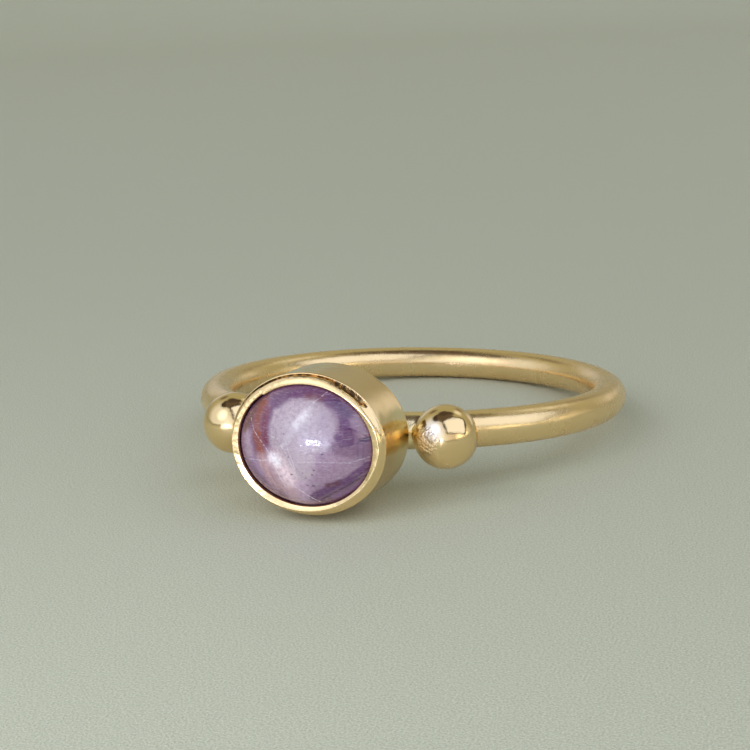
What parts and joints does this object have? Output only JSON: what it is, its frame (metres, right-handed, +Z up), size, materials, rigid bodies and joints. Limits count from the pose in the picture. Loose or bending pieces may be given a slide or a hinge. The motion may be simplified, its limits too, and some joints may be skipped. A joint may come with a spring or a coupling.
{
  "type": "cabochon ring",
  "caption": "Finger ring with an oval star cabochon in a plain closed cup, flanked by round beads on a round wire band.",
  "frame": {"origin": "on the surface that the ring lies on, below the middle of its box", "axes": "+Z up, the stone faces -Y and tips up a little, and X runs across the ring from bead to bead"},
  "size_m": [0.0204, 0.0242, 0.0062],
  "materials": {
    "gold": "polished yellow gold with fine handling marks",
    "star_stone": "polished translucent lilac corundum with a faint star"
  },
  "bodies": {
    "root": {"ring_mount": "gold", "cabochon": "star_stone"}
  },
  "joints": []
}
